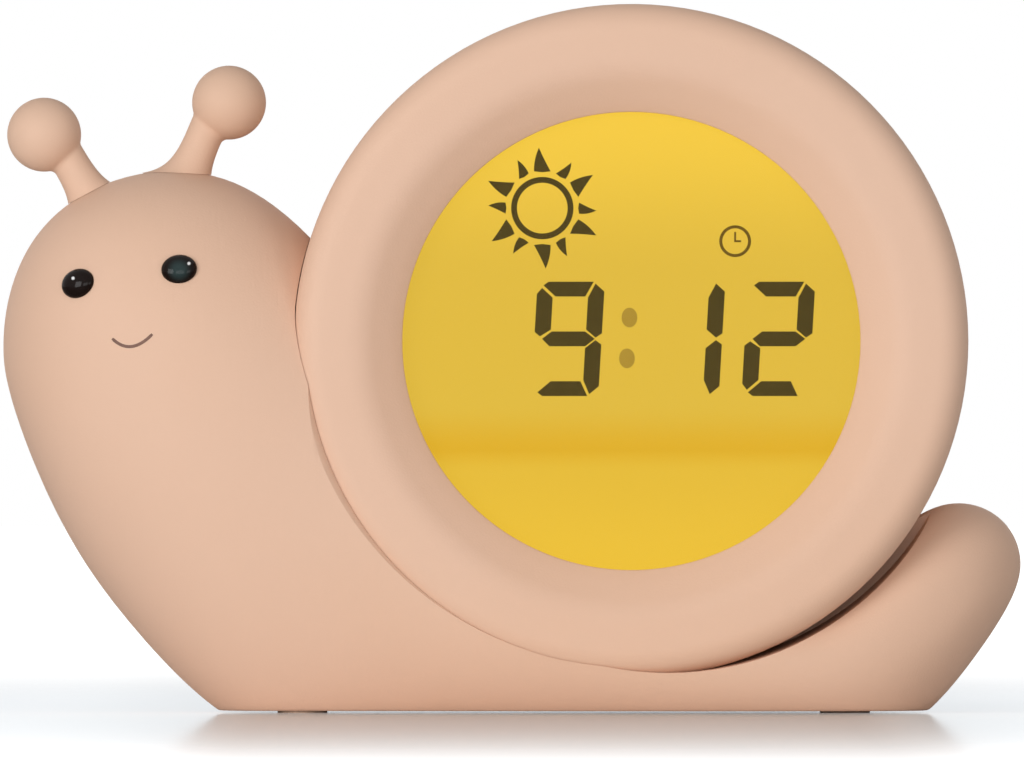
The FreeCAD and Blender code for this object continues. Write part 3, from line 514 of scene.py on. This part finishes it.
# The clock sign is a small ring with two hands at right angles. Its lines are thinner than the
# digits' and so look paler.
clock_x, clock_z = 36.1, 76.35
clock_finish = Finish("display_sign", roughness=0.5, specular_ior_level=0.03)
clock_grain = clock_finish.noise(700.0)
clock_finish.feed("Base Color", clock_finish.blend(clock_grain, colour(96, 74, 22),
                                                   colour(112, 88, 30)))
hand = 0.16
clock_outlines = ring_strip(clock_x, clock_z, 2.08, 2.58, 36)
clock_outlines.append([(clock_x - hand, clock_z - hand), (clock_x + 0.95, clock_z - hand),
                       (clock_x + 0.95, clock_z + hand), (clock_x + hand, clock_z + hand),
                       (clock_x + hand, clock_z + 1.5), (clock_x - hand, clock_z + 1.5)])
plates("clock_sign", clock_outlines, clock_finish, segment_y, segment_depth)


# The colon blinks once a second. It is caught switched off, when its two dots show only as faint
# ovals in the glass.
colon_finish = Finish("display_ghost", roughness=0.5, specular_ior_level=0.03)
colon_grain = colon_finish.noise(500.0)
colon_finish.feed("Base Color", colour(40, 30, 8))
colon_finish.feed("Emission Color", colon_finish.blend(colon_grain, colour(172, 138, 46),
                                                       colour(182, 148, 54)))
colon_finish.feed("Emission Strength", 0.9)
dot_half_width, dot_half_height, dot_steps = 1.28, 1.6, 32
dot_turns = [2 * math.pi * i / dot_steps for i in range(dot_steps)]
colon_outlines = []
for dot_x, dot_z in ((19.0, 64.0), (18.6, 57.4)):
    colon_outlines.append([(dot_x + dot_half_width * math.cos(turn),
                            dot_z + dot_half_height * math.sin(turn)) for turn in dot_turns])
plates("colon_dots", colon_outlines, colon_finish, segment_y, segment_depth)


# Five push buttons stand in a row across the back, with a slide switch below. They are moulded
# in the body's colour and carry a small raised sign each: a bell, minus, a ring, plus and a moon.
button_finish = soft_touch("button_rubber", (214, 178, 152), (210, 172, 146), 0.7)
sign_finish = soft_touch("button_sign", (186, 150, 124), (180, 144, 118), 0.6)
sign_rise = 0.16
sign_bar = 0.3
sign_reach = 1.55


def round_outline(radius, start, end, steps, centre=(0.0, 0.0)):
    """Places on an arc, from one angle to another in degrees, about a middle."""
    turns = [math.radians(start + (end - start) * i / steps) for i in range(steps + 1)]
    return [(centre[0] + radius * math.cos(turn), centre[1] + radius * math.sin(turn))
            for turn in turns]


def bar_outline(half_length, half_width):
    return [(-half_length, -half_width), (half_length, -half_width),
            (half_length, half_width), (-half_length, half_width)]


bell = ([(-1.5, -0.9), (-1.05, -0.45)] + round_outline(1.05, 180, 0, 12, (0.0, 0.3))
        + [(1.05, -0.45), (1.5, -0.9)])
clapper = round_outline(0.38, 180, 360, 8, (0.0, -1.1))
moon = round_outline(1.6, 60, 300, 20) + round_outline(1.42, 285, 75, 16, (0.5, 0.0))
button_signs = {"button_alarm": [bell, clapper],
                "button_down": [bar_outline(sign_reach, sign_bar)],
                "button_set": ring_strip(0.0, 0.0, 0.95, 1.45, 32),
                "button_up": [bar_outline(sign_reach, sign_bar), bar_outline(sign_bar, sign_reach)],
                "button_light": [moon]}
for node, sign in button_signs.items():
    dressed(node, node + "_cap", button_finish)
    button_low, button_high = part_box(node)
    button_x = (button_low.x + button_high.x) / 2 / mm
    button_z = (button_low.z + button_high.z) / 2 / mm
    plates(node + "_sign", [[(button_x - x, button_z + z) for x, z in part] for part in sign],
           sign_finish, button_high.y + sign_rise * mm, 2 * sign_rise * mm, node)
dressed("slide_knob", "slide_knob_cap", button_finish)


# The battery door is a plate in the body's plastic, let into the back and held by two screws that
# stay in it. It comes straight off to the rear.
door_finish = soft_touch("soft_touch_door", (228, 190, 165), (226, 187, 161))
dressed("battery_door", "battery_door_moulding", door_finish)


# Behind the skins, the boards, chips, cells and contacts keep their own mesh and take a finish.
# So do the feet, the gasket and the charging inlet.
def plain(name, first, second, roughness, metallic=0.0, grain=900.0, depth=0.0):
    """A finish of two close tones over a fine pattern."""
    finish = Finish(name, metallic=metallic)
    pattern = finish.noise(grain)
    finish.feed("Base Color", finish.blend(pattern, colour(*first), colour(*second)))
    finish.feed("Roughness", pattern * 0.1 + (roughness - 0.05))
    if depth:
        finish.bump(pattern, depth)
    return finish


rubber = plain("foot_rubber", (196, 166, 144), (206, 176, 152), 0.8, grain=1800.0,
               depth=0.02 * mm)
steel = plain("screw_steel", (176, 174, 170), (196, 194, 190), 0.32, 1.0, 2400.0)
plated = plain("plated_steel", (200, 198, 192), (212, 210, 204), 0.25, 1.0, 2400.0)
board = plain("circuit_board", (22, 84, 48), (30, 98, 58), 0.45)
lamp = plain("lamp_body", (240, 232, 190), (248, 242, 214), 0.4)
chip = plain("chip_black", (24, 24, 26), (36, 36, 38), 0.5)
ribbon = plain("ribbon_grey", (168, 168, 170), (182, 182, 184), 0.5)
cell = plain("cell_wrap", (52, 58, 66), (64, 70, 78), 0.35)
paper = plain("speaker_paper", (38, 36, 34), (52, 50, 46), 0.9, grain=1600.0,
              depth=0.04 * mm)
magnet = plain("magnet_dark", (70, 70, 72), (84, 84, 86), 0.5, 0.6)
white = plain("white_plastic", (232, 230, 224), (240, 238, 232), 0.5)
carried = {"foot_pads": rubber, "lens_gasket": foam_finish, "light_box": white,
           "led_board": board, "main_board": board, "port_board": board, "leds": lamp,
           "main_chips": chip, "tact_switches": chip, "switch_body": chip,
           "ribbon_cable": ribbon, "inlet_socket": plated, "speaker_frame": plated,
           "speaker_cone": paper, "speaker_magnet": magnet, "battery_cells": cell,
           "battery_contacts": plated}
for node, finish in carried.items():
    materials = frame["nodes"][node].data.materials
    materials.clear()
    materials.append(finish.material)


# The screws are pan-head tapping screws, driven into moulded posts. One tree makes them all: a
# domed head with a cross recess over a threaded shank, set on each place and turned at random.
class Growth:
    """A Geometry Nodes tree: inputs by name, and one call for each node."""

    def __init__(self, name, inputs):
        self.tree = bpy.data.node_groups.new(name, "GeometryNodeTree")
        face = self.tree.interface
        face.new_socket("Geometry", in_out="INPUT", socket_type="NodeSocketGeometry")
        face.new_socket("Geometry", in_out="OUTPUT", socket_type="NodeSocketGeometry")
        self.keys = {label: face.new_socket(label, in_out="INPUT", socket_type=kind).identifier
                     for label, kind in inputs.items()}
        self.start = self.tree.nodes.new("NodeGroupInput")
        self.end = self.tree.nodes.new("NodeGroupOutput")

    def take(self, label):
        return self.start.outputs[label]

    def add(self, kind, settings=None, values=None, output=0):
        """Adds a node: its settings first, then a value, a link or several links for a socket."""
        made = self.tree.nodes.new(kind)
        for setting, value in (settings or {}).items():
            setattr(made, setting, value)
        for socket, value in (values or {}).items():
            for part in value if isinstance(value, list) else [value]:
                if isinstance(part, bpy.types.NodeSocket):
                    self.tree.links.new(part, made.inputs[socket])
                else:
                    made.inputs[socket].default_value = part
        return made.outputs[output]

    def maths(self, operation, first, second):
        return self.add("ShaderNodeMath", {"operation": operation}, {0: first, 1: second})

    def vector(self, x, y, z):
        return self.add("ShaderNodeCombineXYZ", None, {"X": x, "Y": y, "Z": z})

    def moved(self, shape, x=0.0, y=0.0, z=0.0, turn=(0.0, 0.0, 0.0), size=1.0):
        return self.add("GeometryNodeTransform", None,
                        {"Geometry": shape, "Translation": self.vector(x, y, z), "Rotation": turn,
                         "Scale": (size, size, size)})

    def grow(self, name, places, inputs):
        """Runs the tree on a set of places and gives back a plain mesh as an object."""
        seeds = bpy.data.meshes.new(name + "_places")
        seeds.from_pydata(places, [], [])
        piece = bpy.data.objects.new(name, seeds)
        bpy.context.collection.objects.link(piece)
        modifier = piece.modifiers.new("growth", "NODES")
        modifier.node_group = self.tree
        for label, value in inputs.items():
            modifier[self.keys[label]] = value
        shape = bpy.data.meshes.new_from_object(
            piece.evaluated_get(bpy.context.evaluated_depsgraph_get()))
        piece.modifiers.clear()
        piece.data = shape
        return piece


dome_share = 1.4
slot_length_share, slot_width_share, slot_depth_share = 1.15, 0.26, 1.1
core_share, ridge_share, thread_share = 0.8, 0.18, 0.92
screws = Growth("pan_head_screws", {
    "Head Radius": "NodeSocketFloat", "Head Height": "NodeSocketFloat",
    "Shank Radius": "NodeSocketFloat", "Shank Length": "NodeSocketFloat",
    "Turns": "NodeSocketFloat", "Tilt": "NodeSocketFloat", "Metal": "NodeSocketMaterial"})
head_radius, head_height = screws.take("Head Radius"), screws.take("Head Height")
shank_radius, shank_length = screws.take("Shank Radius"), screws.take("Shank Length")
blank = screws.add("GeometryNodeMeshCylinder", None,
                   {"Vertices": 40, "Radius": head_radius, "Depth": head_height})
dome_radius = screws.maths("MULTIPLY", head_radius, dome_share)
dome = screws.add("GeometryNodeMeshUVSphere", None,
                  {"Segments": 40, "Rings": 28, "Radius": dome_radius})
half_height = screws.maths("MULTIPLY", head_height, 0.5)
dome = screws.moved(dome, z=screws.maths("SUBTRACT", half_height, dome_radius))
head = screws.add("GeometryNodeMeshBoolean", {"operation": "INTERSECT"}, {"Mesh 2": [blank, dome]})
slot_length = screws.maths("MULTIPLY", head_radius, slot_length_share)
slot_width = screws.maths("MULTIPLY", head_radius, slot_width_share)
slot_depth = screws.maths("MULTIPLY", head_height, slot_depth_share)
arms = []
for long_way in (True, False):
    sides = (slot_length, slot_width) if long_way else (slot_width, slot_length)
    arm = screws.add("GeometryNodeMeshCube", None, {"Size": screws.vector(*sides, slot_depth)})
    arms.append(screws.moved(arm, z=half_height))
head = screws.add("GeometryNodeMeshBoolean", {"operation": "DIFFERENCE"},
                  {"Mesh 1": head, "Mesh 2": arms})
head = screws.moved(head, z=half_height)
core_radius = screws.maths("MULTIPLY", shank_radius, core_share)
core = screws.add("GeometryNodeMeshCylinder", None,
                  {"Vertices": 20, "Radius": core_radius, "Depth": shank_length})
half_length = screws.maths("MULTIPLY", shank_length, -0.5)
core = screws.moved(core, z=half_length)
thread_height = screws.maths("MULTIPLY", shank_length, -thread_share)
spiral = screws.add("GeometryNodeCurveSpiral", None,
                    {"Resolution": 20, "Rotations": screws.take("Turns"),
                     "Start Radius": core_radius, "End Radius": core_radius,
                     "Height": thread_height})
ridge = screws.add("GeometryNodeCurvePrimitiveCircle", None,
                   {"Resolution": 4,
                    "Radius": screws.maths("MULTIPLY", shank_radius, ridge_share)})
thread = screws.add("GeometryNodeCurveToMesh", None,
                    {"Curve": spiral, "Profile Curve": ridge, "Fill Caps": True})
screw = screws.add("GeometryNodeJoinGeometry", None, {"Geometry": [head, core, thread]})
screw = screws.moved(screw, turn=screws.vector(screws.take("Tilt"), 0.0, 0.0), size=mm)
spin = screws.add("FunctionNodeRandomValue", {"data_type": "FLOAT"},
                  {"Min": 0.0, "Max": math.pi, "Seed": 11}, 1)
spread = screws.add("GeometryNodeInstanceOnPoints", None,
                    {"Points": screws.take("Geometry"), "Instance": screw,
                     "Rotation": screws.vector(0.0, spin, 0.0)})
solid = screws.add("GeometryNodeRealizeInstances", None, {"Geometry": spread})
steeled = screws.add("GeometryNodeSetMaterial", None,
                     {"Geometry": solid, "Material": screws.take("Metal")})
screws.tree.links.new(steeled, screws.end.inputs["Geometry"])


def solids(node):
    """The corners of each separate solid in a node's mesh, in the order of its place."""
    work = bmesh.new()
    work.from_mesh(frame["nodes"][node].data)
    bmesh.ops.remove_doubles(work, verts=work.verts, dist=weld)
    left, groups = set(work.verts), []
    while left:
        reached, group = [left.pop()], []
        while reached:
            corner = reached.pop()
            group.append(corner.co.copy())
            for edge in corner.link_edges:
                other = edge.other_vert(corner)
                if other in left:
                    left.discard(other)
                    reached.append(other)
        groups.append(group)
    work.free()
    return sorted(groups, key=lambda group: (round(min(c.x for c in group) / mm, 1),
                                             round(min(c.z for c in group) / mm, 1)))


screw_turns = {"body_screws": 7.0, "shell_screws": 9.0, "door_screws": 6.0, "board_screws": 6.0,
               "led_board_screws": 6.0}
rim_share = 0.95
margin = 0.1 * mm
for node, turns in screw_turns.items():
    seats = []
    for corners in solids(node):
        xs, ys, zs = zip(*corners)
        axis_x, axis_z = (min(xs) + max(xs)) / 2, (min(zs) + max(zs)) / 2
        wide = (max(xs) - min(xs)) / 2
        rims = [c.y for c in corners if math.hypot(c.x - axis_x, c.z - axis_z) > rim_share * wide]
        narrow = min(math.hypot(c.x - axis_x, c.z - axis_z) for c in corners
                     if c.y < min(rims) - margin or c.y > max(rims) + margin)
        to_rear = max(ys) - max(rims) < margin
        seat_y = min(rims) if to_rear else max(rims)
        seats.append((axis_x, seat_y, axis_z))
    length = (max(ys) - min(ys)) - (max(rims) - min(rims))
    piece = screws.grow(node + "_set", seats, {
        "Head Radius": wide / mm, "Head Height": (max(rims) - min(rims)) / mm,
        "Shank Radius": narrow / mm, "Shank Length": length / mm, "Turns": turns,
        "Tilt": math.radians(-90.0 if to_rear else 90.0), "Metal": steel.material})
    creased(piece.data, 35.0)
    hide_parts(node)
    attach(piece, frame["nodes"][node]["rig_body"])


# The studio: a white floor that goes on as the background. It carries a soft painted shadow round
# the object's foot, darkened into its glow, and a dull reflection of it; both fade out towards the
# camera.
floor_size = 8.0
floor_mesh = bpy.data.meshes.new("floor")
floor_work = bmesh.new()
bmesh.ops.create_grid(floor_work, x_segments=1, y_segments=1, size=floor_size)
floor_work.to_mesh(floor_mesh)
floor_work.free()
floor = bpy.data.objects.new("floor", floor_mesh)
bpy.context.collection.objects.link(floor)

# The painted shadow: a soft dark patch in the floor's glow, under and round the object's foot.
painted_shadow_middle = 0.007
painted_shadow_half_width = 0.052
painted_shadow_edge = 0.006
painted_shadow_spread = 0.036
shade_reach = 1.2
near_white, far_white = 0.3, 1.6
floor_finish = Finish("studio_floor", roughness=1.0, specular_ior_level=0.0)
floor_finish.feed("Base Color", colour(243, 243, 243))
seen = floor_finish.node("ShaderNodeLightPath", output="Is Camera Ray")
floor_x = floor_finish.node("ShaderNodeSeparateXYZ", None, {"Vector": floor_finish.place}, "X")
floor_y = floor_finish.node("ShaderNodeSeparateXYZ", None, {"Vector": floor_finish.place}, "Y")
from_middle = floor_x - painted_shadow_middle
aside = from_middle.maths("ABSOLUTE", from_middle)
fade = 1 - floor_finish.step(floor_y.maths("ABSOLUTE", floor_y), 0.0, shade_reach)
painted_shadow_under = 1 - floor_finish.step(aside, painted_shadow_half_width - painted_shadow_edge, painted_shadow_half_width + painted_shadow_edge)
around = 1 - floor_finish.step(aside, painted_shadow_half_width - 2 * painted_shadow_edge,
                               painted_shadow_half_width + painted_shadow_spread)
# Painted shadow: the glow to the camera is darkened under and round the foot, fading towards the
# camera.
shade = (painted_shadow_under * 0.35 + around * 0.45) * fade
away = floor_finish.node("ShaderNodeVectorMath", {"operation": "LENGTH"},
                         {0: floor_finish.place}, "Value")
far = floor_finish.step(away, near_white, far_white)
white = floor_finish.blend(far, (0.62, 0.62, 0.62, 1), (1, 1, 1, 1))
lift = floor_finish.blend(shade, white, (0, 0, 0, 1))
floor_finish.feed("Emission Color", floor_finish.blend(seen, (0, 0, 0, 1), lift))
floor_finish.feed("Emission Strength", 1.0)
mirror = floor_finish.node("ShaderNodeBsdfAnisotropic", None,
                           {"Roughness": 0.05, "Color": (0.86, 0.91, 0.95, 1)})
share = fade * (1 - far) * 0.6 * seen
output = floor_finish.tree.nodes["Material Output"]
matt = Wire(floor_finish, floor_finish.shader.outputs[0])
mixed = floor_finish.node("ShaderNodeMixShader", None, {0: share, 1: matt, 2: mirror})
floor_finish.join(output.inputs["Surface"], mixed)
floor_mesh.materials.append(floor_finish.material)


# The surroundings are even and dim as light, but white to the camera and in reflections.
# A wide lamp from the left does most of the lighting, and two low ones lift the base and tail.
world = bpy.data.worlds.new("studio")
bpy.context.scene.world = world
world.use_nodes = True
world_nodes = world.node_tree.nodes
world_links = world.node_tree.links
surround = world_nodes["Background"]
surround.inputs["Color"].default_value = (1, 1, 1, 1)
surround.inputs["Strength"].default_value = 0.30
backdrop = world_nodes.new("ShaderNodeBackground")
backdrop.inputs["Color"].default_value = (1, 1, 1, 1)
backdrop.inputs["Strength"].default_value = 1.0
choose = world_nodes.new("ShaderNodeMixShader")
either = world_nodes.new("ShaderNodeMath")
either.operation = "MAXIMUM"
ray = world_nodes.new("ShaderNodeLightPath")
world_links.new(ray.outputs["Is Camera Ray"], either.inputs[0])
world_links.new(ray.outputs["Is Glossy Ray"], either.inputs[1])
world_links.new(either.outputs["Value"], choose.inputs["Fac"])
world_links.new(surround.outputs["Background"], choose.inputs[1])
world_links.new(backdrop.outputs["Background"], choose.inputs[2])
world_links.new(choose.outputs["Shader"], world_nodes["World Output"].inputs["Surface"])


def area_lamp(name, place, size, watts):
    """A square soft lamp that faces the object's middle."""
    data = bpy.data.lights.new(name, "AREA")
    data.size = size
    data.energy = watts
    lamp_object = bpy.data.objects.new(name, data)
    lamp_object.location = place
    aim = (view_middle - Vector(place)).to_track_quat("-Z", "Y")
    lamp_object.rotation_euler = aim.to_euler()
    bpy.context.collection.objects.link(lamp_object)


area_lamp("key_lamp", (-1.15, -1.50, 0.42), 0.9, 18.0)
area_lamp("low_fill", (0.10, -1.85, 0.12), 1.0, 10.8)
area_lamp("tail_fill", (1.20, -1.40, 0.10), 0.7, 4.2)
